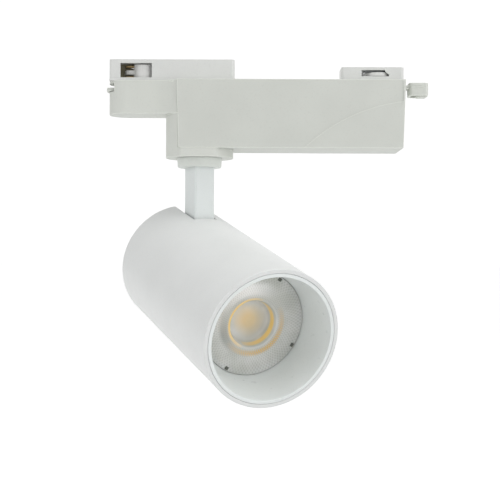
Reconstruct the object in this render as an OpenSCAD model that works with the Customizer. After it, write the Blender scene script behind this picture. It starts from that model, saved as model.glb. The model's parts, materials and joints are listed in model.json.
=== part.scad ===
// Track spotlight: a driver box and two track inserts above, a panning stem, and a tilting
// cylindrical head. The origin is where the pan axis meets the seat plane, the face that bears
// on the underside of the track. +X runs along the track towards the lock lever, +Z is up.

/* [Driver box] */
// Width across the driver box, the same as the track's
box_w = 36; // [35:0.5:38]
// Height of the driver box below the seat plane
box_h = 39.9; // [39:0.1:46]
// Distance from the pan axis to the right end of the box
box_right = 120.3; // [120:0.1:126]
// How far the side panels run past the pan axis to the left
panel_left = 12.6; // [12.2:0.1:13]

/* [Track inserts] */
// Distance from the pan axis to the tip of the nose
nose_reach = 53.6; // [53.4:0.1:54.4]
// Height of the contact insert above the seat plane
contact_h = 12.7; // [12.5:0.1:14]
// Height of the lock insert above the seat plane
lock_h = 8.6; // [8.5:0.1:9.5]
// Width of both inserts
insert_w = 17; // [16.8:0.1:17.6]

/* [Stem] */
// Radius of the round end of the box, about the pan axis
boss_r = 20; // [19.8:0.1:20.4]
// Radius of the swivel collar
collar_r = 13.3; // [12.6:0.1:14]
// Width of the arm across the head's slot
arm_w = 12.4; // [12:0.1:12.6]
// Depth of the arm along the head
arm_d = 17.6; // [16:0.1:17.6]

/* [Head] */
// Outer radius of the head
head_r = 37.5; // [37.3:0.1:38]
// Length of the head
head_l = 139.9; // [136:0.1:150]
// Heading of the head, anticlockwise from straight out of the front
head_pan = 24; // [0:1:60]
// Angle of the head below level, as stored
head_tilt = 15.5; // [0:0.5:60]
// Depth of the lens below the front rim
lens_depth = 25; // [24:0.5:28]

/* [Hidden] */
$fn = 96;
eps = 0.01;

// Driver box: the shell is widest at the relief, and its plain panels are set in from that
relief = 0.5;
half_w = box_w / 2;
panel_y = half_w - relief;
wall = 1.6;
inner_y = panel_y - wall;
floor_t = 1.8;
end_draft = 1.4;
edge_lean = 1.1;
inner_right = box_right - end_draft - 1.9;
arc_c = [box_right + 10.7, -112.5];
arc_r = 100.5;
margin_w = 1.3;

// Round end, left body and boss
base_y = inner_y - 0.1;
base_wall = 1.8;
left_y = 11.4;
left_h = 19.5;
blend_r = 22;
blend_x = sqrt(pow(boss_r + blend_r, 2) - pow(left_y + blend_r, 2));
boss_h = 5;
boss_y = half_w - 0.7;
boss_floor = 3;
floor_z = -box_h - boss_h + boss_floor;
plate_t = 1.2;
pocket = 0.2;

// Inserts
insert_y = insert_w / 2;
flange_h = 1.3;
flange_lip = 0.8;
lip_y = insert_y + flange_lip;
insert_wall = 1.5;
contact_x0 = -nose_reach + 0.7;
contact_x1 = 20.7;
lock_x0 = 83.6;
lock_x1 = box_right;
contact_axis = -32.9;
lock_axis = 105.4;
rotor_r = 6.5;
rotor_gap = 0.3;
pivot_r = 2;
shaft_r = 3;
run_fit = 0.05;
tongue_reach = 11.7;

// Levers
lever_z = -3.7;
lever_t = 2;
contact_lever_reach = 22.3;
lock_lever_z = -1.5;
lock_lever_t = 2;
paddle_in = 18.5;
paddle_out = 29.8;
paddle_y = 6;
swing_clear = 18.2;
paddle_top = -0.1;
paddle_h = 7.5;

// Pan bearing
collar_gap = 0.1;
collar_top = -box_h - boss_h - collar_gap;
collar_h = 5.5;
collar_bottom = collar_top - collar_h;
stud_r = 5;
stud_bore = 3.2;

// Tilt hinge, in the head's own frame: X across, Y towards the rear, Z away from the axis
hinge_y = -24.34;
hinge_n = head_r - 6.26;
hinge_z = -84.3;
pin_r = 1.8;
ear_in = 6.9;
ear_t = 3;
ear_top = 33.6;

// Head
tube_in = head_r - 2.2;
slot_half = 7.24;
slot_l = 33.4;
ring_r = tube_in - 0.3;
ring_in = head_r - 4.3;
lens_r = 28.5;
lens_hole = 29;
flange_in = 25.8;
recess_r = 13.1;
lug_angles = [63, 153, 243, 333];
lug_r = 27.2;
cob_depth = lens_depth + 23;
sink_depth = cob_depth + 1;
sink_l = 39;
bracket_depth = sink_depth + sink_l;
lead_r = 0.7;
cob_screw_x = [-14.5, 14.5];

// Screw places
cover_posts = [[24.5, -12.4], [24.5, 12.4], [84, -12.4], [84, 12.4]];
base_posts = [[-12.6, -9.6], [-12.6, 9.6]];
insert_posts = [[-12, 0], [14, 0], [88.2, -4.5], [88.2, 4.5]];
board_posts = [[36, -6.5], [36, 6.5], [108, -6.5], [108, 6.5]];

shell_white = [0.80, 0.81, 0.78];
insert_white = [0.83, 0.83, 0.81];
paint_white = [0.93, 0.93, 0.92];

// ---------- shared shapes ----------

// A block from one corner to the other
module span(low, high) {
    translate(low) cube([high[0] - low[0], high[1] - low[1], high[2] - low[2]]);
}

// A prism of a plan outline between two heights
module slab(z0, z1) {
    translate([0, 0, z0]) linear_extrude(z1 - z0) children();
}

// A rectangle along X with round corners, centred on Y
module round_rect(x0, x1, hy, r) {
    translate([x0 + r, -hy]) square([x1 - x0 - 2 * r, 2 * hy]);
    translate([x0, -hy + r]) square([x1 - x0, 2 * hy - 2 * r]);
    for (x = [x0 + r, x1 - r], y = [-hy + r, hy - r]) translate([x, y]) circle(r = r);
}

// A sector of a ring, from one angle through a sweep
module ring_sector(r0, r1, start, sweep, z0, z1) {
    translate([0, 0, z0]) rotate([0, 0, start]) rotate_extrude(angle = sweep)
        translate([r0, 0]) square([r1 - r0, z1 - z0]);
}

// Plan of the nose, the left body and the round end, drawn in by inset all round
module left_plan(inset) {
    intersection() {
        union() {
            translate([-nose_reach + left_y, 0]) circle(r = left_y - inset);
            translate([-nose_reach + left_y, -left_y + inset])
                square([nose_reach - left_y, 2 * (left_y - inset)]);
            circle(r = boss_r - inset);
            for (s = [-1, 1]) difference() {
                polygon([[-blend_x, 0], [-blend_x, s * (left_y + blend_r)], [0, 0]]);
                translate([-blend_x, s * (left_y + blend_r)]) circle(r = blend_r + inset);
            }
        }
        translate([-80, -base_y + max(0, inset - 0.2)])
            square([160, 2 * (base_y - max(0, inset - 0.2))]);
    }
}

// Side view of the driver box, X against Z
module box_side() {
    polygon([[-panel_left, 0], [box_right, 0], [box_right - end_draft, -box_h],
        [-panel_left + edge_lean, -box_h]]);
}

// A prism of a side view, centred on Y
module side_prism(w) {
    rotate([90, 0, 0]) linear_extrude(w, center = true) children();
}

function unit(v) = v / norm(v);
function along(p, i) = unit(p[min(i + 1, len(p) - 1)] - p[max(i - 1, 0)]);

// A round lead swept through points that lie in the plane square to side
module lead(p, r, side) {
    n = 10;
    rings = [for (i = [0 : len(p) - 1], k = [0 : n - 1])
        p[i] + r * (cos(360 * k / n) * side + sin(360 * k / n) * cross(side, along(p, i)))];
    start = [[for (k = [n - 1 : -1 : 0]) k]];
    end = [[for (k = [0 : n - 1]) (len(p) - 1) * n + k]];
    sides = [for (i = [0 : len(p) - 2], k = [0 : n - 1], half = [0, 1]) let (j = (k + 1) % n)
        half == 0 ? [i * n + k, i * n + j, (i + 1) * n + j]
                  : [i * n + k, (i + 1) * n + j, (i + 1) * n + k]];
    polyhedron(rings, concat(start, end, sides));
}

// ---------- housing ----------

module adapter_base() {
    color(shell_white) difference() {
        union() {
            slab(-left_h, 0) left_plan(0);
            slab(-box_h, 0) intersection() {
                circle(r = boss_r);
                square([3 * boss_r, 2 * base_y], center = true);
            }
            slab(-box_h - boss_h, -box_h) intersection() {
                circle(r = boss_r);
                square([3 * boss_r, 2 * boss_y], center = true);
            }
        }
        // hollow of the left body, then of the round end
        difference() {
            slab(-left_h + base_wall, 1) left_plan(base_wall);
            for (p = base_posts) translate([p[0], p[1], -34]) cylinder(r = 3, h = 34);
        }
        difference() {
            slab(floor_z, 1) intersection() {
                circle(r = boss_r - base_wall);
                square([3 * boss_r, 2 * (base_y - base_wall)], center = true);
            }
            // pan stop
            span([10.5, -0.9, floor_z - 1], [boss_r, 0.9, floor_z + 2.4]);
            for (p = base_posts) translate([p[0], p[1], -34]) cylinder(r = 3, h = 34);
        }
        // the top plate lies over the walls inside the driver box
        span([-12.4, -20, -plate_t], [21, 20, 1]);
        span([-16.8, -13.9, -plate_t], [-12, 13.9, 1]);
        // way through for the leads
        span([10, -8, -32], [21, 8, -4]);
        // pan bearing
        translate([0, 0, -box_h - boss_h - 1]) cylinder(r = stud_r + run_fit, h = boss_floor + 2);
        // slot that the contact lever swings through
        translate([contact_axis, 0, 0]) ring_sector(5, 30, 64, 142, -6.2, -1.2);
        for (p = base_posts) translate([p[0], p[1], -14]) cylinder(r = 1.1, h = 14);
    }
}

module driver_cover() {
    color(shell_white) difference() {
        union() {
            difference() {
                union() {
                    side_prism(2 * panel_y) box_side();
                    side_prism(2 * half_w) intersection() {
                        box_side();
                        union() {
                            translate(arc_c) circle(r = arc_r, $fn = 360);
                            translate([box_right - margin_w, -box_h - 1])
                                square([margin_w + 1, box_h + 2]);
                        }
                    }
                }
                span([-20, -inner_y, -box_h + floor_t], [inner_right, inner_y, 1]);
                // opening around the round end
                span([-20, -inner_y, -box_h - 1], [0, inner_y, 1]);
                intersection() {
                    translate([0, 0, -box_h - 1]) cylinder(r = boss_r + 0.15, h = box_h);
                    span([-1, -inner_y, -box_h - 1], [21, inner_y, 0]);
                }
            }
            // wall behind the corner that the lock lever swings past
            slab(-10.3, 0) difference() {
                translate([lock_axis, 2]) square([inner_right - lock_axis + eps, inner_y - 2 + eps]);
                translate([lock_axis, 0]) circle(r = swing_clear - wall);
            }
            for (p = cover_posts) translate([p[0], p[1], -box_h + floor_t - eps])
                cylinder(r = 2.8, h = box_h - floor_t - plate_t + eps);
            for (p = board_posts) translate([p[0], p[1], -box_h + floor_t - eps])
                cylinder(r = 2.2, h = 1.6 + eps);
        }
        // corner cut away for the lock lever's swing
        slab(-8.7, 1) difference() {
            translate([lock_axis, 5]) square([20, 14]);
            translate([lock_axis, 0]) circle(r = swing_clear);
        }
        translate([lock_axis, 0, 0])
            ring_sector(11, 26, -22, 128, lock_lever_z - lock_lever_t - 0.3, lock_lever_z + 0.3);
        for (p = cover_posts) translate([p[0], p[1], -14]) cylinder(r = 1.1, h = 14);
    }
}

module top_plate() {
    color(shell_white) difference() {
        union() {
            slab(-plate_t, 0) intersection() {
                left_plan(base_wall + 0.1);
                translate([-60, -20]) square([47.6, 40]);
            }
            span([-12.4 - eps, -base_y, -plate_t], [swing_right(), base_y, 0]);
            span([-16.7, -13.8, -plate_t], [-12.3, 13.8, 0]);
        }
        // pockets that locate the inserts
        slab(-pocket, 1) {
            contact_foot();
            lock_foot();
            translate([inner_right - 5, -lip_y]) square([10, 2 * lip_y]);
        }
        // the corner follows the cover's inner wall
        slab(-2, 1) difference() {
            translate([lock_axis, 2]) square([20, 20]);
            translate([lock_axis, 0]) circle(r = swing_clear - wall - 0.1);
        }
        for (x = [contact_axis, lock_axis]) translate([x, 0, -2]) cylinder(r = shaft_r + run_fit, h = 4);
        for (p = insert_posts) translate([p[0], p[1], -2]) cylinder(r = 1.5, h = 4);
        for (p = concat(cover_posts, base_posts)) translate([p[0], p[1], 0]) countersink(0.05);
    }
}

// The plate stops short of the end wall
function swing_right() = inner_right - 0.1;

module countersink(slack) {
    translate([0, 0, -plate_t - 1]) cylinder(r = 1.1 + slack, h = 3);
    translate([0, 0, -plate_t]) cylinder(r1 = 1.1 + slack, r2 = 2.3 + slack, h = plate_t);
}

module contact_foot() {
    round_rect(contact_x0 - 0.1, contact_x1 + 0.6, lip_y, 2.2);
}

module lock_foot() {
    round_rect(lock_x0 - 0.6, inner_right - 0.5, lip_y, 2.2);
}

module contact_housing() {
    roof = contact_h - insert_wall;
    color(insert_white) difference() {
        union() {
            slab(-pocket, eps) difference() {
                intersection() {
                    contact_foot();
                    union() {
                        left_plan(base_wall + 0.15);
                        translate([-15, -lip_y]) square([40, 2 * lip_y]);
                    }
                }
                // clear of the two screws in the round end
                for (p = base_posts) translate(p) circle(r = 2.6);
            }
            slab(0, flange_h) contact_foot();
            slab(flange_h, contact_h) round_rect(contact_x0, contact_x1, insert_y, 1.8);
        }
        difference() {
            span([contact_x0 + insert_wall, -insert_y + insert_wall, -1],
                [contact_x1 - insert_wall, insert_y - insert_wall, roof]);
            span([-20.9, -insert_y, -1], [-19.4, insert_y, contact_h]);
            for (i = [0, 1]) translate([insert_posts[i][0], 0, -pocket])
                cylinder(r = 3, h = roof + pocket + eps);
        }
        // windows on both sides that the contacts swing out of
        span([-46.4, -20, 2], [-27.9, 20, 10.5]);
        translate([contact_axis, 0, roof - 1]) cylinder(r = pivot_r + run_fit, h = 1.9);
        for (i = [0, 1]) translate([insert_posts[i][0], 0, -1]) cylinder(r = 1.1, h = 8);
    }
}

module lock_housing() {
    roof = lock_h - insert_wall;
    color(insert_white) difference() {
        union() {
            slab(-pocket, flange_h) lock_foot();
            slab(0, flange_h) round_rect(lock_x0 - 0.6, lock_x1, lip_y, 2.2);
            slab(flange_h, lock_h) round_rect(lock_x0, lock_x1, insert_y, 1.8);
        }
        span([93.2, -insert_y + insert_wall, -1], [113.9, insert_y - insert_wall, roof]);
        side_prism(40) polygon([[95.4, 3.2], [111.5, 3.2], [111.5, 4.4], [110.8, 4.7], [109.2, 6.3],
            [109.2, 6.9], [95.4, 6.9]]);
        translate([lock_axis, 0, roof - 1]) cylinder(r = pivot_r + run_fit, h = 2);
        for (i = [2, 3]) translate([insert_posts[i][0], insert_posts[i][1], -1])
            cylinder(r = 1.1, h = 7);
    }
}

module housing_screws() {
    color("silver") for (p = concat(cover_posts, base_posts)) translate([p[0], p[1], 0])
        difference() {
            union() {
                translate([0, 0, -12]) cylinder(r = 1.1, h = 12 - plate_t);
                translate([0, 0, -plate_t]) cylinder(r1 = 1.1, r2 = 2.2, h = plate_t - 0.1);
            }
            cross_recess(-0.1, 2.6, 0.7);
        }
}

// A cross recess sunk into a screw's head from above
module cross_recess(top, size, depth) {
    for (a = [0, 90]) rotate([0, 0, a]) translate([-size / 2, -0.3, top - depth]) cube([size, 0.6, depth + 1]);
}

// Insulating block behind the contacts, slotted where they swing through it
module contact_guard() {
    color([0.3, 0.27, 0.2]) difference() {
        union() {
            span([contact_x0 + insert_wall + 0.1, 1, 0.05], [-39.6, insert_y - insert_wall - 0.1,
                contact_h - insert_wall - 0.1]);
            span([-46.3, 3, 2.1], [-39.6, insert_y - 0.1, 10.4]);
        }
        translate([contact_axis, 0, 0]) {
            translate([0, 0, -1]) cylinder(r = rotor_r + rotor_gap, h = 14);
            for (z = [[2.4, 3.8], [4.3, 7.3], [8.7, 10.1]]) translate([0, 0, z[0]])
                cylinder(r = tongue_reach + 0.35, h = z[1] - z[0]);
        }
    }
}

module insert_screws() {
    lengths = [6.6, 6.6, 5.4, 5.4];
    color("silver") for (i = [0 : 3]) translate([insert_posts[i][0], insert_posts[i][1], 0])
        mirror([0, 0, 1]) difference() {
            union() {
                translate([0, 0, -lengths[i] + 1]) cylinder(r = 1.1, h = lengths[i] - 1 + plate_t + 0.5);
                translate([0, 0, plate_t]) cylinder(r = 2.4, h = 1.6);
            }
            translate([0, 0, plate_t + 1.6]) cross_recess(0, 2.8, 0.8);
        }
}

// ---------- driver ----------

board_top = -box_h + floor_t + 1.6 + 1.6;

module driver_board() {
    color("darkgreen") difference() {
        span([30, -9.2, board_top - 1.6], [113, 9.2, board_top]);
        for (p = board_posts) translate([p[0], p[1], board_top - 2]) cylinder(r = 1, h = 3);
    }
}

module driver_transformer() {
    // ferrite core around a wound bobbin
    translate([70, 0, board_top]) color([0.2, 0.2, 0.2]) {
        difference() {
            span([-10, -7, 3], [10, 7, 21]);
            span([-6.5, -8, 6], [6.5, 8, 18]);
        }
        translate([0, 0, 6 - eps]) cylinder(r = 6, h = 12 + 2 * eps);
        for (x = [-8, 8]) span([x - 1.5, -6, 0], [x + 1.5, 6, 3 + eps]);
    }
}

module line_choke() {
    translate([104, 0, board_top]) color([0.15, 0.35, 0.2]) {
        translate([0, 0, 3]) rotate_extrude() translate([5, 0]) circle(r = 2.6, $fn = 32);
        for (a = [0, 180]) rotate([0, 0, a]) translate([5, 0, 0]) cylinder(r = 1, h = 2, $fn = 24);
    }
}

module input_capacitor() {
    translate([90, 0, board_top]) color([0.12, 0.14, 0.2]) {
        cylinder(r = 5, h = 18);
        translate([0, 0, 18]) cylinder(r = 4.2, h = 0.4);
    }
}

module output_capacitor() {
    translate([52, 0, board_top]) color([0.12, 0.14, 0.2]) {
        cylinder(r = 4, h = 14);
        translate([0, 0, 14]) cylinder(r = 3.4, h = 0.4);
    }
}

module terminal_block() {
    color("seagreen") difference() {
        span([33, -6, board_top], [43, 6, board_top + 9]);
        for (y = [-3, 3]) {
            translate([32, y, board_top + 3]) rotate([0, 90, 0]) cylinder(r = 1.3, h = 6);
            translate([38.5, y, board_top + 6]) cylinder(r = 1.5, h = 4);
        }
    }
}

// Two insulated leads from below the contact rotor to the terminal block
module mains_leads() {
    for (s = [-1, 1]) color(s > 0 ? "brown" : "steelblue")
        translate([0, 3 * s, 0]) lead([[-24, 0, -12], [-12, 0, -12.5], [4, 0, -13.5], [13, 0, -16],
            [20, 0, -21], [25, 0, -27], [29, 0, -31], [33, 0, board_top + 3], [37, 0, board_top + 3]],
            0.9, [0, 1, 0]);
}

// ---------- contact lock ----------

// A round-ended bar from the axis, pointing to -X
module tongue(reach, half, z0, z1) {
    slab(z0, z1) {
        translate([-reach + half, -half]) square([reach - half, 2 * half]);
        translate([-reach + half, 0]) circle(r = half);
    }
}

module blade_cut() {
    for (z = [2.7, 9.0]) tongue(11.3, 1.8, z, z + 0.8);
}

module contact_rotor() {
    top = 9.9;
    color("white") translate([contact_axis, 0, 0]) difference() {
        union() {
            translate([0, 0, rotor_gap + 0.1]) cylinder(r = rotor_r, h = top - rotor_gap - 0.1);
            tongue(tongue_reach, 3, 4.6, 7);
            translate([0, 0, top - eps]) cylinder(r = pivot_r, h = 2);
            translate([0, 0, lever_z - lever_t]) cylinder(r = shaft_r, h = 6.5);
        }
        blade_cut();
        translate([0, 0, lever_z - lever_t - 1]) cylinder(r = 0.9, h = 6);
    }
}

module contact_blades() {
    color("gold") translate([contact_axis, 0, 0]) blade_cut();
}

// Hub, narrow arm and wide finger tab
module contact_lever() {
    color(shell_white) translate([contact_axis, 0, 0]) difference() {
        union() {
            translate([0, 0, lever_z - lever_t]) cylinder(r = 5, h = lever_t);
            slab(lever_z - lever_t, lever_z) {
                translate([-16, -3.5]) square([16, 7]);
                intersection() {
                    circle(r = contact_lever_reach);
                    translate([-24, -6]) square([8.5, 12]);
                }
            }
        }
        translate([0, 0, lever_z - lever_t - 1]) cylinder(r = shaft_r, h = lever_t + 2);
    }
}

// Pan-head screw up into a shaft's end
module shaft_screw(z) {
    color("silver") translate([0, 0, z]) difference() {
        union() {
            translate([0, 0, -1.4]) cylinder(r = 4, h = 1.4);
            translate([0, 0, -eps]) cylinder(r = 0.9, h = 4);
        }
        mirror([0, 0, 1]) cross_recess(1.4, 3, 0.8);
    }
}

module contact_lever_screw() {
    translate([contact_axis, 0, 0]) shaft_screw(lever_z - lever_t);
}

// ---------- lock ----------

module lock_rotor() {
    top = 6.05;
    color("white") translate([lock_axis, 0, 0]) difference() {
        union() {
            translate([0, 0, rotor_gap]) cylinder(r = rotor_r, h = top - rotor_gap);
            tongue(tongue_reach, 4.5, 3.5, 5.2);
            // flange that shows in the windows
            translate([0, 0, 3.5]) cylinder(r = 8.1, h = 2.2);
            translate([0, 0, top - eps]) cylinder(r = pivot_r, h = 1.95);
            translate([0, 0, lock_lever_z - lock_lever_t]) cylinder(r = shaft_r, h = 4);
        }
        translate([0, 0, lock_lever_z - lock_lever_t - 1]) cylinder(r = 0.9, h = 5.3);
    }
}

module lock_lever() {
    bottom = paddle_top - paddle_h;
    color(shell_white) translate([lock_axis, 0, 0]) difference() {
        union() {
            slab(lock_lever_z - lock_lever_t, lock_lever_z) {
                circle(r = 5.5);
                translate([0, -4]) square([paddle_in + 1, 8]);
            }
            slab(bottom, paddle_top) round_rect(paddle_in, paddle_out, paddle_y, 2);
            // finger bead along the outer lower edge
            slab(bottom - 0.6, bottom + eps)
                translate([paddle_out - 6, -paddle_y + 2]) square([5, 2 * paddle_y - 4]);
        }
        // hollow underside
        slab(bottom - 1, -4.4) round_rect(paddle_in + 1.6, paddle_out - 6.5, paddle_y - 1.6, 1);
        translate([0, 0, lock_lever_z - lock_lever_t - 1]) cylinder(r = shaft_r, h = lock_lever_t + 2);
        // grip lines on the faces that a finger pushes
        for (s = [-1, 1], z = [-1.6, -2.7]) span([paddle_in + 1.5, s * paddle_y - 0.25, z - 0.35],
            [paddle_out - 2, s * paddle_y + 0.25, z]);
    }
}

module lock_lever_screw() {
    translate([lock_axis, 0, 0]) shaft_screw(lock_lever_z - lock_lever_t);
}

// Thin leaf that presses on the lock rotor
module lock_spring() {
    color("silver") translate([lock_axis, 0, 0]) difference() {
        span([-8, -4, 6.4], [6.6, 4, 6.8]);
        translate([0, 0, 6]) cylinder(r = pivot_r + 0.4, h = 2);
    }
}

// ---------- stem ----------

module pan_friction_washer() {
    color("ivory") translate([0, 0, floor_z]) difference() {
        cylinder(r = 9.5, h = 0.8);
        translate([0, 0, -1]) cylinder(r = stud_r + 0.3, h = 3);
    }
}

module swivel_collar() {
    color(shell_white) translate([0, 0, collar_bottom]) difference() {
        union() {
            cylinder(r1 = collar_r - 0.8, r2 = collar_r - 0.3, h = 0.5);
            translate([0, 0, 0.5]) cylinder(r1 = collar_r - 0.3, r2 = collar_r, h = collar_h - 0.5);
        }
        translate([0, 0, -1]) cylinder(r = stud_r, h = collar_h + 2);
    }
}

module pan_stud() {
    color("silver") difference() {
        translate([0, 0, collar_bottom - 6]) cylinder(r = stud_r, h = 22.3);
        translate([0, 0, collar_bottom - 7]) cylinder(r = stud_bore, h = 25);
    }
}

washer_z = floor_z + 1.1;

module pan_stop_washer() {
    color("silver") translate([0, 0, washer_z]) difference() {
        union() {
            cylinder(r = 9.3, h = 1.2);
            span([-13.5, -1.1, 0], [-8, 1.1, 1.2]);
        }
        translate([0, 0, -1]) cylinder(r = stud_r, h = 4);
    }
}

module pan_nut() {
    color("silver") translate([0, 0, washer_z + 1.2]) difference() {
        cylinder(r = 9.2, h = 3.4, $fn = 6);
        translate([0, 0, -1]) cylinder(r = stud_r, h = 6);
    }
}

module tilt_arm() {
    edge = 1.2;
    color(paint_white) rotate([0, 0, head_pan]) difference() {
        union() {
            slab(hinge_z, collar_bottom) rotate([0, 0, 90]) round_rect(-arm_d / 2, arm_d / 2, arm_w / 2, edge);
            translate([-arm_w / 2, 0, hinge_z]) rotate([0, 90, 0]) cylinder(r = arm_d / 2, h = arm_w);
        }
        translate([0, 0, collar_bottom - 6]) cylinder(r = stud_r, h = 10);
        // way for the leads, out of the rear face inside the head
        translate([0, 0, hinge_z + 6]) cylinder(r = 2.2, h = 30);
        translate([0, 0, hinge_z + 6.5]) rotate([-90, 0, 0]) cylinder(r = 2.2, h = 20);
        translate([-20, 0, hinge_z]) rotate([0, 90, 0]) cylinder(r = pin_r + run_fit, h = 40);
    }
}

// ---------- head ----------

// Places a piece drawn in the head's own frame: its axis on Y, the rear rim at zero
module in_head() {
    translate([0, 0, hinge_z]) rotate([0, 0, head_pan]) rotate([head_tilt, 0, 0])
        translate([0, -hinge_y, -hinge_n]) children();
}

// Turns a solid of revolution about Z, drawn from the front rim, onto the head's axis
module from_front() {
    in_head() translate([0, -head_l, 0]) rotate([-90, 0, 0]) children();
}

// A disc or ring on the head's axis, between two depths from the front rim
module ring(r0, r1, d0, d1) {
    translate([0, 0, d0]) difference() {
        cylinder(r = r1, h = d1 - d0);
        if (r0 > 0) translate([0, 0, -1]) cylinder(r = r0, h = d1 - d0 + 2);
    }
}

module head_tube() {
    color(paint_white) in_head() difference() {
        rotate([90, 0, 0]) cylinder(r = head_r, h = head_l, $fn = 180);
        translate([0, 1, 0]) rotate([90, 0, 0]) cylinder(r = tube_in, h = head_l + 2, $fn = 180);
        span([-slot_half, -slot_l, 20], [slot_half, 1, 60]);
    }
}

module rear_cap() {
    depth = head_l - 1;
    color(paint_white) in_head() difference() {
        union() {
            translate([0, -1, 0]) rotate([90, 0, 0]) cylinder(r = tube_in - 0.1, h = 2.5);
            translate([0, -3, 0]) rotate([90, 0, 0]) ring(tube_in - 1.7, tube_in - 0.1, 0, 6);
        }
        span([-slot_half - 0.3, -20, hinge_n - arm_d / 2 - 0.7], [slot_half + 0.3, 5, 60]);
        // vent slots
        for (i = [-2 : 2]) span([-14, -8, -6 + 7 * i - 1], [14, 2, -6 + 7 * i + 1]);
    }
}

module baffle_ring() {
    t = 1.2;
    color("white") from_front() difference() {
        rotate_extrude($fn = 180) polygon([[ring_in, 0.2], [ring_in + 0.2, 0], [ring_r - 0.2, 0],
            [ring_r, 0.2], [ring_r, 6], [ring_in - 0.8 + t, 6], [lens_hole + t, lens_depth],
            [ring_r, lens_depth], [ring_r, lens_depth + 1.5], [lens_hole, lens_depth + 1.5],
            [lens_hole, lens_depth]]);
    }
}

// Collimating lens: a rim, a faceted cone behind, a well in front and a hollow over the emitter
module lens() {
    rim = 1.8;
    color([0.9, 0.95, 0.95, 0.5]) from_front() difference() {
        rotate_extrude($fn = 180) polygon([[0, lens_depth + 6], [recess_r - 1.5, lens_depth + 6],
            [recess_r, lens_depth], [lens_r, lens_depth], [lens_r, lens_depth + rim],
            [flange_in, lens_depth + rim], [11.5, cob_depth - 2.5], [8.5, cob_depth - 2.5],
            [8.5, cob_depth - 10], [0, cob_depth - 11.5]]);
        for (a = lug_angles) rotate([0, 0, -a]) span([lug_r - 0.9, -1.3, lens_depth - 1],
            [lens_r + 1, 1.3, lens_depth + rim + 0.1]);
    }
}

module lens_holder() {
    back = lens_depth + 1.8;
    color([0.55, 0.56, 0.56]) from_front() union() {
        ring(flange_in + 0.2, ring_r - 0.4, back, back + 2);
        for (a = lug_angles) rotate([0, 0, -a]) span([lug_r - 0.7, -1.1, lens_depth - 0.2],
            [lug_r + 1.1, 1.1, back + eps]);
        for (a = lug_angles) rotate([0, 0, -a]) span([ring_r - 4, -3, back + 2 - eps],
            [ring_r - 1.2, 3, sink_depth]);
    }
}

module cob_holder() {
    color("white") from_front() difference() {
        ring(9.2, 17, cob_depth - 2, cob_depth);
        for (x = cob_screw_x) translate([x, 0, cob_depth - 3]) cylinder(r = 1.6, h = 5);
    }
}

module cob_board() {
    color([0.85, 0.86, 0.88]) from_front() difference() {
        ring(0, 18.5, cob_depth, sink_depth);
        for (x = cob_screw_x) translate([x, 0, cob_depth - 1]) cylinder(r = 1.6, h = 4);
    }
}

module cob_emitter() {
    color("gold") from_front() ring(0, 8.2, cob_depth - 0.7, cob_depth);
}

module cob_screws() {
    color("silver") from_front() for (x = cob_screw_x) translate([x, 0, cob_depth - 2]) difference() {
        union() {
            translate([0, 0, -1.2]) cylinder(r = 2.2, h = 1.2);
            translate([0, 0, -eps]) cylinder(r = 1.2, h = 7);
        }
        mirror([0, 0, 1]) cross_recess(1.2, 2.4, 0.7);
    }
}

module heat_sink() {
    fins = 16;
    plate = 6;
    color([0.62, 0.63, 0.65]) from_front() difference() {
        union() {
            ring(0, tube_in - 0.1, sink_depth, sink_depth + plate);
            ring(0, 12, sink_depth + plate - eps, bracket_depth);
            for (i = [0 : fins - 1]) rotate([0, 0, (i + 0.5) * 360 / fins])
                span([11, -0.8, sink_depth + plate - eps], [tube_in - 1, 0.8, bracket_depth - 3]);
        }
        for (x = cob_screw_x) translate([x, 0, sink_depth - 1]) cylinder(r = 1.2, h = 6.5);
        for (x = [-7, 7]) translate([x, 0, bracket_depth - 8]) cylinder(r = 1.5, h = 9);
        translate([0, -17, sink_depth - 1]) cylinder(r = 2.6, h = plate + 2);
    }
}

// Strap on the back of the heat sink with two ears that carry the tilt pin
module tilt_bracket() {
    front = -head_l + bracket_depth;
    ear_out = ear_in + ear_t;
    color("silver") in_head() difference() {
        union() {
            span([-12, front, -7], [12, front + 2.5, 30]);
            for (s = [-1, 1]) span([s > 0 ? ear_in : -ear_out, front, 18],
                [s > 0 ? ear_out : -ear_in, hinge_y + 5, ear_top]);
        }
        for (x = [-7, 7]) translate([x, front - 1, 0]) rotate([-90, 0, 0]) cylinder(r = 1.7, h = 5);
        translate([-20, hinge_y, hinge_n]) rotate([0, 90, 0]) cylinder(r = pin_r, h = 40);
        // opening for the leads
        translate([0, front - 1, 17]) rotate([-90, 0, 0]) cylinder(r = 3, h = 5);
    }
}

module bracket_screws() {
    front = -head_l + bracket_depth;
    color("silver") in_head() for (x = [-7, 7]) translate([x, front + 2.5, 0]) rotate([-90, 0, 0])
        difference() {
            union() {
                cylinder(r = 2.8, h = 2);
                translate([0, 0, -9.5]) cylinder(r = 1.5, h = 9.5 + eps);
            }
            cross_recess(2, 3, 0.9);
        }
}

module tilt_pin() {
    ear_out = ear_in + ear_t;
    color("silver") in_head() translate([-ear_out, hinge_y, hinge_n]) rotate([0, 90, 0])
        cylinder(r = pin_r, h = 2 * ear_out);
}

module tilt_washers() {
    color("ivory") in_head() for (s = [-1, 1])
        translate([s > 0 ? arm_w / 2 + 0.3 : -ear_in, hinge_y, hinge_n]) rotate([0, 90, 0])
            difference() {
                cylinder(r = 3.1, h = ear_in - arm_w / 2 - 0.3);
                translate([0, 0, -1]) cylinder(r = pin_r, h = 4);
            }
}

// Two leads from behind the bracket, between the fins, to the back of the emitter board
module head_leads() {
    front = -head_l + sink_depth;
    for (s = [-1, 1]) color(s > 0 ? "red" : "black") in_head()
        translate([s, 0, 0]) lead([[0, -36, 15], [0, -42, 16.4], [0, -48, 17], [0, front, 17]],
            lead_r, [1, 0, 0]);
}

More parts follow.
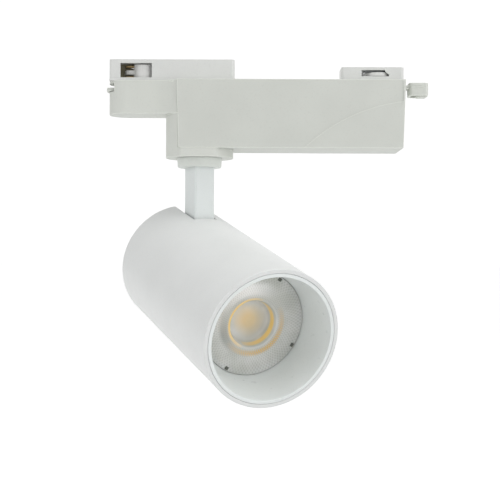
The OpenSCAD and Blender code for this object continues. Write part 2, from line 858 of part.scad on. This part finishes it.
adapter_base();
driver_cover();
top_plate();
contact_housing();
lock_housing();
contact_guard();
housing_screws();
insert_screws();
driver_board();
driver_transformer();
line_choke();
input_capacitor();
output_capacitor();
terminal_block();
mains_leads();
lock_spring();
pan_friction_washer();
contact_rotor();
contact_blades();
contact_lever();
contact_lever_screw();
lock_rotor();
lock_lever();
lock_lever_screw();
swivel_collar();
pan_stud();
pan_stop_washer();
pan_nut();
tilt_arm();
head_tube();
rear_cap();
baffle_ring();
lens();
lens_holder();
cob_holder();
cob_board();
cob_emitter();
cob_screws();
heat_sink();
tilt_bracket();
bracket_screws();
tilt_pin();
tilt_washers();
head_leads();
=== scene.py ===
"""Looks for the track spotlight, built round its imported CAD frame.

Everything is in metres, in the frame's own axes, unless a name or comment says millimetres. Most
visible CAD nodes are stood for by copies with their edges rounded. The lens, the baffle, the collar
and the emitter are turned here in finer detail.
"""

import json
import math

import bmesh
import bpy
from mathutils import Matrix, Vector

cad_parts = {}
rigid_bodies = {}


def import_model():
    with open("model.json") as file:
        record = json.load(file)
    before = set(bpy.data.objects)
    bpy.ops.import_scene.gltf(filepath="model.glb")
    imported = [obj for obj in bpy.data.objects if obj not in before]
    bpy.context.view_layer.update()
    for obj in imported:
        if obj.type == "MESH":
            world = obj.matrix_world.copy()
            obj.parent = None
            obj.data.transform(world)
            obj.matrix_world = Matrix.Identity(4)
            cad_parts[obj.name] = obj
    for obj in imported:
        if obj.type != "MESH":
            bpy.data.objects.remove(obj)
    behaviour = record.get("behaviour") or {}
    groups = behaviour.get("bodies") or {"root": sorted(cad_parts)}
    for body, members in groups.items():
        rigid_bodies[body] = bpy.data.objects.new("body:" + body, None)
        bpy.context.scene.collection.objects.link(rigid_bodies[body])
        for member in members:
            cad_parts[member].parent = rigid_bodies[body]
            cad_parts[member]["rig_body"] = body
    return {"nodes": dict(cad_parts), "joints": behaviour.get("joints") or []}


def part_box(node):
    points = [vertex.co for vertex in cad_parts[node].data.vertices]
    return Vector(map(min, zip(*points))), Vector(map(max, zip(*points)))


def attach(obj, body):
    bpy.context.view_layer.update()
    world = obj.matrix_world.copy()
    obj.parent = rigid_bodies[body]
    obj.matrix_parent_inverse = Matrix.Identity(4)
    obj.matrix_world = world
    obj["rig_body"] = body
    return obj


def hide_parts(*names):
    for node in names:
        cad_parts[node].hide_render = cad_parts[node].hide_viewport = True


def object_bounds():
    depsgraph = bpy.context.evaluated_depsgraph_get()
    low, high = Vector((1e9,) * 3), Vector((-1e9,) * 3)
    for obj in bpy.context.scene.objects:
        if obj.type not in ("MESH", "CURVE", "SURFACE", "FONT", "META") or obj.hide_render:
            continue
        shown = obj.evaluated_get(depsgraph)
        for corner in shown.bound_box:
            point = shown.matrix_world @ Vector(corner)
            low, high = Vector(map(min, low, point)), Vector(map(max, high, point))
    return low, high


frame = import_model()
cad_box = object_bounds()

MM = 0.001
nodes = frame["nodes"]
slot_of = {n: o.data.materials[0].name.split(".")[0] for n, o in nodes.items()}

# ---------------------------------------------------------------- head's own frame

tilt = next(j for j in frame["joints"] if j["name"] == "tilt")
across = Vector(tilt["axis"]).normalized()
level = Vector((across.y, -across.x, 0)).normalized()
droop = math.radians(-tilt["range_deg"][0])
forward = level * math.cos(droop) - Vector((0, 0, 1)) * math.sin(droop)
outward = level * math.sin(droop) + Vector((0, 0, 1)) * math.cos(droop)


def reach(node, axis):
    """Lowest and highest place of a node along an axis."""
    along = [v.co.dot(axis) for v in nodes[node].data.vertices]
    return min(along), max(along)


def rim_centre(node):
    """Centre of a node's front face, on the head's axis."""
    front = reach(node, forward)[1]
    ring = [v.co for v in nodes[node].data.vertices if v.co.dot(forward) > front - 5 * MM]
    side = [c.dot(across) for c in ring]
    high = [c.dot(outward) for c in ring]
    return (forward * front + across * (min(side) + max(side)) / 2
            + outward * (min(high) + max(high)) / 2)


front_rim = rim_centre("head_tube")
head_frame = Matrix((
    (across.x, outward.x, forward.x, front_rim.x),
    (across.y, outward.y, forward.y, front_rim.y),
    (across.z, outward.z, forward.z, front_rim.z),
    (0, 0, 0, 1),
))

# ---------------------------------------------------------------- materials


class Finish:
    """One procedural material, with short calls for the nodes that it uses."""

    def __init__(self, name):
        self.mat = bpy.data.materials.new(name)
        self.mat.use_nodes = True
        self.tree = self.mat.node_tree
        self.tree.nodes.clear()
        output = self.add("ShaderNodeOutputMaterial")
        self.shader = self.add("ShaderNodeBsdfPrincipled")
        self.join(self.shader.outputs["BSDF"], output.inputs["Surface"])
        self.place = self.add("ShaderNodeTexCoord").outputs["Object"]
        self.normal = None

    def add(self, kind, **settings):
        node = self.tree.nodes.new(kind)
        for key, value in settings.items():
            setattr(node, key, value)
        return node

    def join(self, source, target):
        self.tree.links.new(source, target)

    def fix(self, **values):
        """Sets numbers and colours straight on the shader."""
        for key, value in values.items():
            self.shader.inputs[key.replace("_", " ")].default_value = value

    def noise(self, scale, detail=2.0, rough=0.5, stretch=None):
        node = self.add("ShaderNodeTexNoise")
        node.inputs["Scale"].default_value = scale
        node.inputs["Detail"].default_value = detail
        node.inputs["Roughness"].default_value = rough
        source = self.place
        if stretch:
            mapping = self.add("ShaderNodeMapping")
            mapping.inputs["Scale"].default_value = stretch
            self.join(source, mapping.inputs["Vector"])
            source = mapping.outputs["Vector"]
        self.join(source, node.inputs["Vector"])
        return node.outputs["Fac"]

    def cells(self, scale, feature="F1"):
        node = self.add("ShaderNodeTexVoronoi", feature=feature)
        node.inputs["Scale"].default_value = scale
        self.join(self.place, node.inputs["Vector"])
        return node.outputs["Distance"]

    def span(self, value, low, high, to_low, to_high):
        node = self.add("ShaderNodeMapRange", clamp=True)
        for socket, number in zip(("From Min", "From Max", "To Min", "To Max"),
                                  (low, high, to_low, to_high)):
            node.inputs[socket].default_value = number
        self.join(value, node.inputs["Value"])
        return node.outputs["Result"]

    def math(self, operation, a, b):
        node = self.add("ShaderNodeMath", operation=operation)
        for socket, value in zip(node.inputs, (a, b)):
            if isinstance(value, (int, float)):
                socket.default_value = value
            else:
                self.join(value, socket)
        return node.outputs["Value"]

    def blend(self, share, a, b):
        node = self.add("ShaderNodeMix", data_type="RGBA")
        self.join(share, node.inputs["Factor"])
        colours = [s for s in node.inputs if s.type == "RGBA"]
        for socket, value in zip(colours, (a, b)):
            if isinstance(value, tuple):
                socket.default_value = (*value, 1)
            else:
                self.join(value, socket)
        return next(s for s in node.outputs if s.type == "RGBA")

    def edges(self, width=0.35):
        """Where the surface turns within a width in millimetres, from 0 to 1."""
        bend = self.add("ShaderNodeBevel", samples=4)
        bend.inputs["Radius"].default_value = width * MM
        true = self.add("ShaderNodeNewGeometry").outputs["Normal"]
        dot = self.add("ShaderNodeVectorMath", operation="DOT_PRODUCT")
        self.join(bend.outputs["Normal"], dot.inputs[0])
        self.join(true, dot.inputs[1])
        return self.span(dot.outputs["Value"], 0.88, 0.995, 1, 0)

    def hollows(self, distance=2.0):
        """Where walls close in within a distance in millimetres, from 0 to 1."""
        shade = self.add("ShaderNodeAmbientOcclusion", samples=4)
        shade.inputs["Distance"].default_value = distance * MM
        return self.span(shade.outputs["AO"], 0.35, 0.85, 1, 0)

    def angle(self):
        """Angle round the head's axis, from its across axis towards its outward one."""
        return self.math("ARCTAN2", self.along(tuple(outward), tuple(front_rim)),
                         self.along(tuple(across), tuple(front_rim)))

    def lobes(self, count, peak):
        """Strength round the head's axis, from 0 to 1, highest at an angle in degrees."""
        turn = self.math("MULTIPLY", self.math("SUBTRACT", self.angle(), math.radians(peak)), count)
        return self.math("MAXIMUM", self.math("COSINE", turn, 0.0), 0.0)

    def along(self, axis, origin):
        """Signed distance from a point along an axis."""
        shift = self.add("ShaderNodeVectorMath", operation="SUBTRACT")
        self.join(self.place, shift.inputs[0])
        shift.inputs[1].default_value = origin
        dot = self.add("ShaderNodeVectorMath", operation="DOT_PRODUCT")
        self.join(shift.outputs["Vector"], dot.inputs[0])
        dot.inputs[1].default_value = axis
        return dot.outputs["Value"]

    def radius(self, axis, origin):
        """Distance from the line through origin along axis."""
        shift = self.add("ShaderNodeVectorMath", operation="SUBTRACT")
        self.join(self.place, shift.inputs[0])
        shift.inputs[1].default_value = origin
        cross = self.add("ShaderNodeVectorMath", operation="CROSS_PRODUCT")
        self.join(shift.outputs["Vector"], cross.inputs[0])
        cross.inputs[1].default_value = axis
        length = self.add("ShaderNodeVectorMath", operation="LENGTH")
        self.join(cross.outputs["Vector"], length.inputs[0])
        return length.outputs["Value"]

    def colour(self, source):
        self.join(source, self.shader.inputs["Base Color"])

    def roughness(self, source):
        self.join(source, self.shader.inputs["Roughness"])

    def bump(self, height, strength, depth):
        """Adds a layer of fine relief, in metres of depth."""
        node = self.add("ShaderNodeBump")
        node.inputs["Strength"].default_value = strength
        node.inputs["Distance"].default_value = depth
        self.join(height, node.inputs["Height"])
        if self.normal:
            self.join(self.normal, node.inputs["Normal"])
        self.normal = node.outputs["Normal"]
        self.join(self.normal, self.shader.inputs["Normal"])


def times(colour, k):
    return tuple(min(1.0, c * k) for c in colour)


def moulded(name, base, rough, grain, depth, drift=0.02, highlight_gain=1.12, edge=0.35):
    """Moulded plastic or sprayed paint: slow tint drift, fine grain, painted shade in hollows and painted
    highlights on edges; wear sets the highlights' brightness and edge their width in millimetres.
    """
    f = Finish(name)
    tint = f.blend(f.span(f.noise(38, 3), 0.35, 0.65, 0, 1),
                   times(base, 1 - drift), times(base, 1 + drift))
    speck = f.blend(f.span(f.noise(grain * 0.6, 2), 0.3, 0.42, 0.35, 0), tint, times(base, 0.9))
    # painted shade: darker where walls close in
    hollow_shade = f.blend(f.hollows(), speck, times(base, 0.84))
    # painted highlight: lighter on rounded edges
    edge_highlight = f.blend(f.edges(edge), hollow_shade, times(base, highlight_gain))
    f.colour(edge_highlight)
    f.roughness(f.span(f.noise(260, 3), 0.3, 0.7, rough - 0.06, rough + 0.06))
    f.bump(f.noise(grain, 3, 0.6), 0.35, depth)
    f.bump(f.noise(95, 2), 0.12, 6 * depth)
    f.fix(IOR=1.49)
    return f


def metal(name, base, rough, stretch, depth=0.00001):
    """Drawn or turned metal: lines along one way, smudges, and bright edges."""
    f = Finish(name)
    lines = f.noise(900, 4, 0.65, stretch)
    smudge = f.noise(70, 3)
    tint = f.blend(f.span(lines, 0.3, 0.7, 0, 1), times(base, 0.86), times(base, 1.05))
    dull = f.blend(f.span(smudge, 0.45, 0.75, 0, 0.5), tint, times(base, 0.72))
    f.colour(f.blend(f.edges(), dull, times(base, 1.2)))
    f.roughness(f.span(smudge, 0.3, 0.7, rough - 0.07, rough + 0.1))
    f.bump(lines, 0.3, depth)
    f.fix(Metallic=1.0)
    return f


def clear_lens():
    """Moulded optical plastic: part clear, part cloudy, with painted light on it: dark reflections, a glare,
    the dishes' shade and the emitter's image in warm colours, the glare and the ring glowing.
    """
    f = Finish("clear_lens")
    far = f.radius(tuple(forward), tuple(front_rim))

    def band(inner, outer, fade):
        """A ring of the face between two radii in millimetres, with soft edges."""
        return f.math("MULTIPLY", f.span(far, (inner - fade) * MM, inner * MM, 0, 1),
                      f.span(far, outer * MM, (outer + fade) * MM, 1, 0))

    def arc(peak, inner, outer, fade, power, strength):
        """A stretch of such a ring round an angle in degrees."""
        side = f.math("POWER", f.lobes(1, peak), power)
        return f.math("MULTIPLY", f.math("MULTIPLY", band(inner, outer, fade), side), strength)

    first_row = (DISH_IN + DISH_PITCH / 2) * MM
    rows = f.math("MULTIPLY", f.math("SUBTRACT", far, first_row), math.pi / (DISH_PITCH * MM))
    dots = f.math("MULTIPLY", f.math("COSINE", f.math("MULTIPLY", f.angle(), DISH_COUNT), 0.0),
                  f.math("COSINE", rows, 0.0))
    dots = f.span(dots, -0.2, 0.7, 0, 1)
    dished = f.span(far, DISH_IN * MM, (DISH_IN + 0.5) * MM, 0, 1)
    cloud_and_painted_light = f.blend(f.span(f.noise(75, 2), 0.35, 0.65, 0, 1), LENS_DARK, LENS_LIGHT)
    # painted dark reflections: grey arcs laid over the cloudy tint
    for peak, inner, outer, power, strength in LENS_SHADES:
        cloud_and_painted_light = f.blend(arc(peak, inner, outer, SHADE_FADE, power, strength), cloud_and_painted_light, SHADE_GREY)
    glare = arc(*LENS_GLARE)
    cloud_and_painted_light = f.blend(glare, cloud_and_painted_light, (1.0, 1.0, 1.0))
    # painted shade of the dished face: its dots drawn darker
    dish_shade = f.math("MULTIPLY", f.math("MULTIPLY", dots, dished), DISH_SHADE_STRENGTH)
    cloud_and_painted_light = f.blend(dish_shade, cloud_and_painted_light, DISH_SHADE_GREY)
    # painted light from the emitter: a dotted yellow halo, a yellow spot in the middle and a yellow ring on
    # the well
    halo = f.math("MULTIPLY", arc(*LENS_HALO), f.span(dots, 0.1, 0.9, 1, 0.2))
    spot = f.span(far, 3 * MM, 9.5 * MM, 0.75, 0)
    warm = f.blend(halo, f.blend(spot, cloud_and_painted_light, (0.98, 0.76, 0.38)), (1.0, 0.66, 0.22))
    ring = f.math("MAXIMUM", arc(*NEAR_ARC), arc(*FAR_ARC))
    f.colour(f.blend(ring, warm, (1.0, 0.74, 0.30)))
    # painted glow: the glare and the ring give off light of their own
    glow = f.blend(glare, (0.0, 0.0, 0.0), (1.0, 1.0, 1.0))
    f.join(f.blend(ring, glow, (1.0, 0.62, 0.15)), f.shader.inputs["Emission Color"])
    f.roughness(f.span(f.noise(160, 2), 0.3, 0.7, 0.08, 0.18))
    f.bump(f.noise(420, 2), 0.15, 0.00002)
    f.fix(Transmission_Weight=LENS_CLEAR, IOR=1.49, Emission_Strength=LENS_GLOW)
    return f


def lens_frame():
    """Grey plastic behind the lens, dark on the lugs that come forward through its flange."""
    f = Finish("holder_grey")
    ahead = f.along(tuple(forward), tuple(front_rim))
    lug = f.span(ahead, -(LENS_DEPTH + 1.5) * MM, -(LENS_DEPTH + 1) * MM, 0, 1)
    base = f.blend(f.span(f.noise(60, 2), 0.35, 0.65, 0, 1), (0.55, 0.56, 0.55), (0.62, 0.63, 0.62))
    f.colour(f.blend(lug, base, (0.10, 0.11, 0.09)))
    f.roughness(f.span(f.noise(260, 2), 0.3, 0.7, 0.35, 0.5))
    f.bump(f.noise(1400, 2), 0.3, 0.000014)
    return f


def phosphor():
    """Yellow silicone over the diodes: a dotted pattern, a slight sheen and a painted glow."""
    f = Finish("phosphor")
    dots = f.span(f.cells(820), 0.15, 0.5, 1, 0)
    base = f.blend(f.span(f.noise(300, 3), 0.35, 0.65, 0, 1), (0.86, 0.56, 0.13), (0.95, 0.68, 0.22))
    f.colour(f.blend(dots, base, (0.98, 0.78, 0.33)))
    f.roughness(f.span(f.noise(500, 2), 0.3, 0.7, 0.3, 0.42))
    f.bump(dots, 0.5, 0.00008)
    # painted glow: the silicone gives off a weak yellow light of its own
    f.fix(Emission_Color=(1.0, 0.66, 0.22, 1), Emission_Strength=PHOSPHOR_GLOW)
    return f


def board():
    """Solder mask over copper tracks."""
    f = Finish("circuit_board")
    tracks = f.span(f.cells(320, "DISTANCE_TO_EDGE"), 0.04, 0.07, 1, 0)
    base = f.blend(f.noise(60, 2), (0.02, 0.12, 0.05), (0.03, 0.17, 0.07))
    f.colour(f.blend(f.math("MULTIPLY", tracks, 0.6), base, (0.07, 0.27, 0.11)))
    f.roughness(f.span(f.noise(300, 2), 0.3, 0.7, 0.25, 0.4))
    f.bump(tracks, 0.5, 0.00003)
    return f


def two_colour(name, axis, origin, one, other):
    """Insulation of two leads that lie on either side of a plane."""
    f = Finish(name)
    side = f.span(f.along(axis, origin), -0.0001, 0.0001, 0, 1)
    base = f.blend(side, one, other)
    f.colour(f.blend(f.span(f.noise(150, 2), 0.4, 0.7, 0, 0.35), base, (0.5, 0.5, 0.5)))
    f.roughness(f.span(f.noise(400, 2), 0.3, 0.7, 0.35, 0.5))
    f.bump(f.noise(2500, 2), 0.2, 0.00002)
    return f


LENS_DEPTH = 25.0
LENS_CLEAR = 0.33
LENS_DARK = (0.82, 0.84, 0.80)
LENS_LIGHT = (0.98, 0.99, 0.97)
# painted dark reflections on the lens: angle in degrees, radii in millimetres, power, strength
LENS_SHADES = [(200, 15.5, 18, 5, 0.6), (128, 15, 16, 9, 0.5), (330, 5, 9, 1, 0.25)]
SHADE_FADE = 2.2
SHADE_GREY = (0.28, 0.30, 0.29)
# painted shade of the dished face: its grey and its strength
DISH_SHADE_GREY = (0.33, 0.34, 0.31)
DISH_SHADE_STRENGTH = 0.28
# painted light on the lens, the glare and the emitter's image as a halo and the ring's two arcs: angle,
# radii, fade, power, strength
LENS_GLARE = (105, 17, 21, 3, 4, 0.9)
LENS_HALO = (305, 15.8, 17.3, 1.2, 0.8, 0.95)
NEAR_ARC = (160, 13.0, 14.2, 0.4, 0.6, 0.95)
FAR_ARC = (340, 12.0, 12.6, 0.25, 0.5, 1.0)
# strength of the lens's painted glow
LENS_GLOW = 0.2
DISH_IN = 14.0
DISH_OUT = 25.4
DISH_PITCH = 1.3
DISH_COUNT = 90
DISH_DEPTH = 0.13
PHOSPHOR_GLOW = 0.9
SHELL = (0.70, 0.72, 0.672)
INSERT = (0.755, 0.765, 0.745)
ROTOR = (0.80, 0.80, 0.785)
PAINT = (0.80, 0.815, 0.805)
BAFFLE = (0.85, 0.885, 0.875)

finishes = {
    # the housing's painted edge highlights are brighter and wider than the default
    "housing_plastic": moulded("housing_plastic", SHELL, 0.52, 1500, 0.000018, highlight_gain=1.3, edge=0.7),
    "insert_plastic": moulded("insert_plastic", INSERT, 0.38, 1500, 0.000014),
    "rotor_plastic": moulded("rotor_plastic", ROTOR, 0.3, 1200, 0.00001),
    "painted_white": moulded("painted_white", PAINT, 0.40, 2100, 0.000026, 0.012),
    "baffle_white": moulded("baffle_white", BAFFLE, 0.33, 1600, 0.000012),
    "steel": metal("steel", (0.55, 0.56, 0.58), 0.3, (1, 1, 0.08)),
    "brass": metal("brass", (0.72, 0.53, 0.28), 0.32, (0.1, 1, 1)),
    "aluminium": metal("aluminium", (0.72, 0.73, 0.75), 0.36, (1, 0.12, 1)),
    "nylon": moulded("nylon", (0.78, 0.76, 0.68), 0.45, 1300, 0.000014),
    "holder_grey": lens_frame(),
    # the contact guard's dark brown is painted shade: a dark part that stands for the shade inside the
    # contact window
    "guard_brown": moulded("guard_brown", (0.27, 0.245, 0.165), 0.5, 1200, 0.00002),
    "ferrite": moulded("ferrite", (0.035, 0.035, 0.038), 0.6, 1100, 0.00003),
    "capacitor_sleeve": moulded("capacitor_sleeve", (0.025, 0.03, 0.07), 0.28, 900, 0.000008),
    "terminal_green": moulded("terminal_green", (0.04, 0.30, 0.12), 0.42, 1300, 0.000014),
    "clear_lens": clear_lens(),
    "phosphor": phosphor(),
    "circuit_board": board(),
    "wire": two_colour("mains_wire", (0, 1, 0), (0, 0, 0), (0.08, 0.16, 0.5), (0.25, 0.1, 0.04)),
}
arm_paint = moulded("arm_paint", (0.80, 0.84, 0.83), 0.40, 2100, 0.000026, 0.012)
# the cover's plastic is the shell's made 6 % darker as painted shade on the box's front, with stronger and
# wider painted edge highlights
shaded_cover_plastic = moulded("shaded_cover_plastic", times(SHELL, 0.94), 0.52, 1500, 0.000018, highlight_gain=1.35, edge=0.9)
collar_plastic = moulded("collar_plastic", (0.76, 0.79, 0.75), 0.45, 1500, 0.000018, edge=0.5)
own_finish = {"tilt_arm": arm_paint, "driver_cover": shaded_cover_plastic, "swivel_collar": collar_plastic}
head_wire = two_colour("head_wire", tuple(across), tuple(front_rim),
                       (0.02, 0.02, 0.02), (0.55, 0.03, 0.02))

# ---------------------------------------------------------------- pieces


def add_piece(name, mesh, like, finish=None):
    """An object for a finished mesh: it stands for a CAD node, and rides on its body."""
    mesh.materials.clear()
    mesh.materials.append((finish or finishes[slot_of[like]]).mat)
    obj = bpy.data.objects.new(name, mesh)
    bpy.context.scene.collection.objects.link(obj)
    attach(obj, nodes[like]["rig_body"])
    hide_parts(like)
    return obj


def smooth(obj, angle=32):
    """Smooth shading that keeps corners sharper than an angle, and keeps flat faces flat."""
    obj.data.shade_smooth()
    obj.data.set_sharp_from_angle(angle=math.radians(angle))
    weighted = obj.modifiers.new("weighted", "WEIGHTED_NORMAL")
    weighted.keep_sharp = True


def soften(node, width, steps=3, finish=None):
    """A copy of a CAD node with its facets merged and its outer edges rounded."""
    bm = bmesh.new()
    bm.from_mesh(nodes[node].data)
    bmesh.ops.remove_doubles(bm, verts=bm.verts, dist=2e-6)
    bmesh.ops.dissolve_limit(bm, angle_limit=math.radians(0.5), verts=bm.verts, edges=bm.edges)
    turned = [e for e in bm.edges if len(e.link_faces) == 2
              and e.calc_face_angle(0) > math.radians(38) and e.is_convex]
    bmesh.ops.bevel(bm, geom=turned, offset=width * MM, offset_type="OFFSET", segments=steps,
                    profile=0.5, affect="EDGES", clamp_overlap=True, loop_slide=True)
    bmesh.ops.recalc_face_normals(bm, faces=bm.faces)
    mesh = bpy.data.meshes.new(node + "_soft")
    bm.to_mesh(mesh)
    bm.free()
    smooth(add_piece(node + "_soft", mesh, node, finish))


def turned(name, profile, like, segments=192, matrix=head_frame, wave=None):
    """A closed solid of revolution from (radius, depth) points in millimetres; depth runs along -Z."""
    verts, faces, rows = [], [], []
    for r, depth in profile:
        if r < 1e-6:
            rows.append([len(verts)])
            verts.append(matrix @ Vector((0, 0, -depth * MM)))
            continue
        rows.append(list(range(len(verts), len(verts) + segments)))
        for k in range(segments):
            a = 2 * math.pi * k / segments
            d = depth + (wave(r, a) if wave else 0)
            verts.append(matrix @ Vector((r * MM * math.cos(a), r * MM * math.sin(a), -d * MM)))
    pairs = list(zip(rows, rows[1:]))
    if len(rows[0]) > 1:
        pairs.append((rows[-1], rows[0]))
    for one, two in pairs:
        for k in range(segments):
            j = (k + 1) % segments
            if len(one) == 1:
                faces.append((one[0], two[k], two[j]))
            elif len(two) == 1:
                faces.append((one[k], two[0], one[j]))
            else:
                faces.append((one[k], two[k], two[j], one[j]))
    mesh = bpy.data.meshes.new(name)
    mesh.from_pydata(verts, [], faces)
    mesh.update()
    bm = bmesh.new()
    bm.from_mesh(mesh)
    bmesh.ops.recalc_face_normals(bm, faces=bm.faces)
    bm.to_mesh(mesh)
    bm.free()
    smooth(add_piece(name, mesh, like, own_finish.get(like)), 40)


def rounded(points, steps=4):
    """A closed outline with rounded corners, from (r, depth, corner radius) in millimetres."""
    out = []
    n = len(points)
    for i, p in enumerate(points):
        here = Vector(p[:2])
        before, after = Vector(points[i - 1][:2]) - here, Vector(points[(i + 1) % n][:2]) - here
        size = min(p[2], before.length * 0.45, after.length * 0.45)
        if size <= 0:
            out.append(tuple(here))
            continue
        a, b = here + before.normalized() * size, here + after.normalized() * size
        for s in range(steps + 1):
            t = s / steps
            out.append(tuple(a * (1 - t) ** 2 + here * 2 * t * (1 - t) + b * t ** 2))
    return out


EDGES_MM = {
    "adapter_base": 0.45, "driver_cover": 0.4, "top_plate": 0.15, "contact_housing": 0.35,
    "lock_housing": 0.3, "contact_rotor": 0.2, "contact_blades": 0.12, "contact_lever": 0.3,
    "lock_rotor": 0.2, "lock_lever": 0.35, "tilt_arm": 0.3, "head_tube": 0.35, "rear_cap": 0.3,
    "lens_holder": 0.2, "cob_holder": 0.2, "heat_sink": 0.2, "tilt_bracket": 0.3, "tilt_pin": 0.2,
    "pan_nut": 0.25, "contact_guard": 0.15,
}
for node, width in EDGES_MM.items():
    soften(node, width, finish=own_finish.get(node))


def collar():
    """The swivel collar: square against the boss, and rounded below."""
    low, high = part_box("swivel_collar")
    r, h = high.x / MM, (high.z - low.z) / MM
    profile = rounded([(STUD_R, 0, 0), (r, 0, 0.08), (r - 0.3, h - 0.5, 0.4), (r - 0.8, h, 0.3),
                       (STUD_R, h, 0)])
    turned("swivel_collar_turned", profile, "swivel_collar", matrix=Matrix.Translation((0, 0, high.z)))


def dimple(r, angle):
    """Depth of the shallow dishes that cover the lens's front face, in staggered rings."""
    if not DISH_IN < r < DISH_OUT:
        return 0
    row = int((r - DISH_IN) / DISH_PITCH)
    middle = DISH_IN + (row + 0.5) * DISH_PITCH
    place = (angle * DISH_COUNT / (2 * math.pi) + 0.5 * (row % 2)) % 1 - 0.5
    far = math.hypot(2 * place, (r - middle) / (DISH_PITCH / 2))
    return DISH_DEPTH * max(0, 1 - far * far)


def optic():
    """The collimating lens: a well in front, dished face, thin flange and a cone behind."""
    d = LENS_DEPTH
    steps = round((DISH_OUT - DISH_IN) / (DISH_PITCH / 6))
    face = [(DISH_IN + (DISH_OUT - DISH_IN) * i / steps, d) for i in range(steps + 1)]
    front = [(0, d + 6), (5, d + 6), (10.4, d + 6), (11.2, d + 5.85), (11.6, d + 5.4), (12.2, d + 3.5),
             (12.8, d + 1.4), (13.1, d + 0.3), (13.35, d + 0.05), (13.7, d)]
    rim = [(25.7, d + 0.02), (25.85, d + 0.12), (26.0, d + 0.12), (26.15, d + 0.02), (28.45, d),
           (28.7, d + 0.1), (28.75, d + 0.3), (28.75, d + 1.6), (28.6, d + 1.8), (25.8, d + 1.8)]
    cone = [(25.8 - 14.3 * t ** 1.06, d + 1.8 + 18.7 * t) for t in (i / 12 for i in range(1, 13))]
    back = [(8.6, d + 20.5), (8.5, d + 20.3), (8.4, d + 13.4), (8.0, d + 12.9), (4, d + 11.9), (0, d + 11.5)]
    turned("lens_turned", front + face + rim + cone + back, "lens", segments=640, wave=dimple)


def baffle():
    """The white cone in front of the lens, with a rolled lip in the tube's mouth."""
    d = LENS_DEPTH
    profile = rounded([(33.3, 0, 0.25), (35.15, 0, 0.25), (35.15, 6, 0.1), (33.6, 6, 0.3),
                       (30.4, d - 0.3, 0.2), (35, d - 0.3, 0.1), (35, d + 1.5, 0.1), (29, d + 1.5, 0.1),
                       (29, d, 0.2)])
    turned("baffle_turned", profile, "baffle_ring", segments=256)


def emitter():
    """The diodes' yellow silicone: a low dome inside a dam."""
    d = LENS_DEPTH + 22.3
    profile = [(0, d - 0.25), (3, d - 0.22), (6, d - 0.1), (7.2, d), (7.35, d - 0.25), (7.8, d - 0.3),
               (8.1, d - 0.2), (8.2, d + 0.1), (8.2, d + 0.7), (0, d + 0.7)]
    turned("cob_emitter_turned", profile, "cob_emitter", segments=96)


STUD_R = 5.0
collar()
optic()
emitter()
baffle()

for node, obj in nodes.items():
    if not obj.hide_render:
        finish = head_wire if node == "head_leads" else finishes[slot_of[node]]
        obj.data.materials.clear()
        obj.data.materials.append(finish.mat)

# ---------------------------------------------------------------- stage, light and camera

LOWEST = cad_box[0].z
FLOOR_DROP = 0.20
FLOOR_HALF = 30.0


def plain_floor():
    size, z = FLOOR_HALF, LOWEST - FLOOR_DROP
    mesh = bpy.data.meshes.new("floor")
    corners = [(-size, -size, z), (size, -size, z), (size, size, z), (-size, size, z)]
    mesh.from_pydata(corners, [], [(0, 1, 2, 3)])
    f = Finish("floor_pale")
    f.colour(f.blend(f.noise(1.5, 2), (0.84, 0.84, 0.84), (0.88, 0.88, 0.88)))
    lit = f.span(f.along((0, 1, 0), (0, 0, 0)), 0.25, 0.6, 0, 0.5)
    f.join(lit, f.shader.inputs["Emission Strength"])
    f.fix(Roughness=0.9, Emission_Color=(1, 1, 1, 1))
    mesh.materials.append(f.mat)
    floor = bpy.data.objects.new("floor", mesh)
    bpy.context.scene.collection.objects.link(floor)


def studio_world(plain, bright):
    """A pale surround with a brighter backdrop on the +Y side."""
    world = bpy.data.worlds.new("studio")
    world.use_nodes = True
    tree = world.node_tree
    background = tree.nodes["Background"]
    coord = tree.nodes.new("ShaderNodeTexCoord")
    split = tree.nodes.new("ShaderNodeSeparateXYZ")
    fade = tree.nodes.new("ShaderNodeMapRange")
    for socket, number in zip(("From Min", "From Max", "To Min", "To Max"), (0.75, 0.93, plain, bright)):
        fade.inputs[socket].default_value = number
    tree.links.new(coord.outputs["Generated"], split.inputs["Vector"])
    tree.links.new(split.outputs["Y"], fade.inputs["Value"])
    tree.links.new(fade.outputs["Result"], background.inputs["Strength"])
    background.inputs["Color"].default_value = (1, 1, 1, 1)
    bpy.context.scene.world = world


def soft_box(name, place, target, size, power):
    """A square area light that faces a target: size in metres, power in watts."""
    data = bpy.data.lights.new(name, "AREA")
    data.shape = "SQUARE"
    data.size = size
    data.energy = power
    light = bpy.data.objects.new(name, data)
    light.location = place
    light.rotation_euler = (Vector(target) - Vector(place)).to_track_quat("-Z", "Y").to_euler()
    bpy.context.scene.collection.objects.link(light)


plain_floor()
studio_world(0.55, 1.05)
centre = (cad_box[0] + cad_box[1]) / 2
soft_box("top_light", (0.50, -0.35, 1.35), centre, 1.3, 9.5)
soft_box("right_light", (1.25, -0.95, 0.15), centre, 1.2, 5.5)
soft_box("left_light", (-1.4, -0.75, 0.1), centre, 1.2, 4.6)

LENS_MM = 79.31
CAMERA_PLACE = (0.03022, -0.65532, -0.10180)
CAMERA_PITCH = 0.231
CAMERA_ROLL = 0.231

camera_data = bpy.data.cameras.new("camera")
camera_data.sensor_width = 36
camera_data.lens = LENS_MM
camera_data.clip_start = 0.01
camera = bpy.data.objects.new("camera", camera_data)
camera.matrix_world = (Matrix.Translation(CAMERA_PLACE)
                       @ Matrix.Rotation(math.radians(90 + CAMERA_PITCH), 4, "X")
                       @ Matrix.Rotation(math.radians(CAMERA_ROLL), 4, "Z"))
bpy.context.scene.collection.objects.link(camera)
bpy.context.scene.camera = camera
bpy.context.scene.view_settings.view_transform = "Standard"
